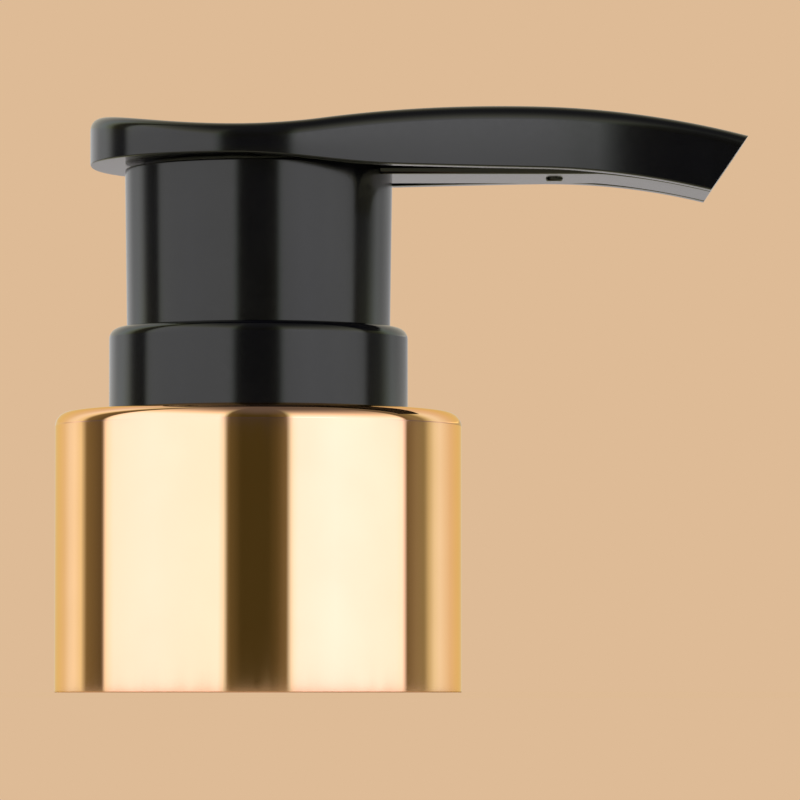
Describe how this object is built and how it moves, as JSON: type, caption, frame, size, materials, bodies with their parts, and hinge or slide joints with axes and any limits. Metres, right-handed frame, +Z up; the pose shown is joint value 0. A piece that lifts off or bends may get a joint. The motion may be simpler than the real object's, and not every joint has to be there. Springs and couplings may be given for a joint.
{
  "type": "lotion pump",
  "caption": "Push-down dispenser pump: swept nozzle head on a short skirt, sprung plunger and ball valves in a cylinder, held by a metal-skinned screw cap.",
  "frame": {"origin": "on the pump's axis, at the level of the cap's lower rim", "axes": "+Z up along the pump's axis, +X towards the nozzle's tip"},
  "size_m": [0.0475, 0.028, 0.0399],
  "materials": {
    "gold_anodised": "bright anodised gold",
    "black_plastic": "glossy moulded black",
    "natural_plastic": "satin natural plastic",
    "soft_plastic": "satin soft plastic",
    "gasket_foam": "matt foam",
    "seal_rubber": "matt rubber",
    "spring_steel": "drawn wire",
    "ball_steel": "polished"
  },
  "bodies": {
    "cap": {"cap_shell": "gold_anodised", "cap_liner": "natural_plastic"},
    "pump_body": {"pump_housing": "natural_plastic", "collar_ring": "black_plastic", "neck_gasket": "gasket_foam", "cylinder_cap": "natural_plastic", "stem_seal": "seal_rubber", "return_spring": "spring_steel"},
    "plunger": {"piston": "soft_plastic"},
    "actuator": {"actuator_head": "black_plastic", "nozzle_channel": "black_plastic", "actuator_skirt": "black_plastic", "pump_stem": "natural_plastic"},
    "inlet_valve": {"inlet_ball": "ball_steel"},
    "outlet_valve": {"outlet_ball": "ball_steel"}
  },
  "joints": [
    {"name": "cap_turn", "type": "hinge", "parent": "cap", "child": "pump_body", "pos_m": [0, 0, 0], "axis": [0, 0, 1], "continuous": true},
    {"name": "press", "type": "slide", "parent": "pump_body", "child": "plunger", "axis": [0, 0, -1], "range_m": [0, 0.0065], "stiffness_N_per_m": 1000, "springref_m": -0.006, "deforming": ["return_spring"]},
    {"name": "swivel", "type": "hinge", "parent": "plunger", "child": "actuator", "pos_m": [0, 0, 0], "axis": [0, 0, 1], "continuous": true},
    {"name": "inlet_lift", "type": "slide", "parent": "pump_body", "child": "inlet_valve", "axis": [0, 0, 1], "range_m": [0, 0.001]},
    {"name": "outlet_lift", "type": "slide", "parent": "actuator", "child": "outlet_valve", "axis": [0, 0, 1], "range_m": [0, 0.001]}
  ]
}
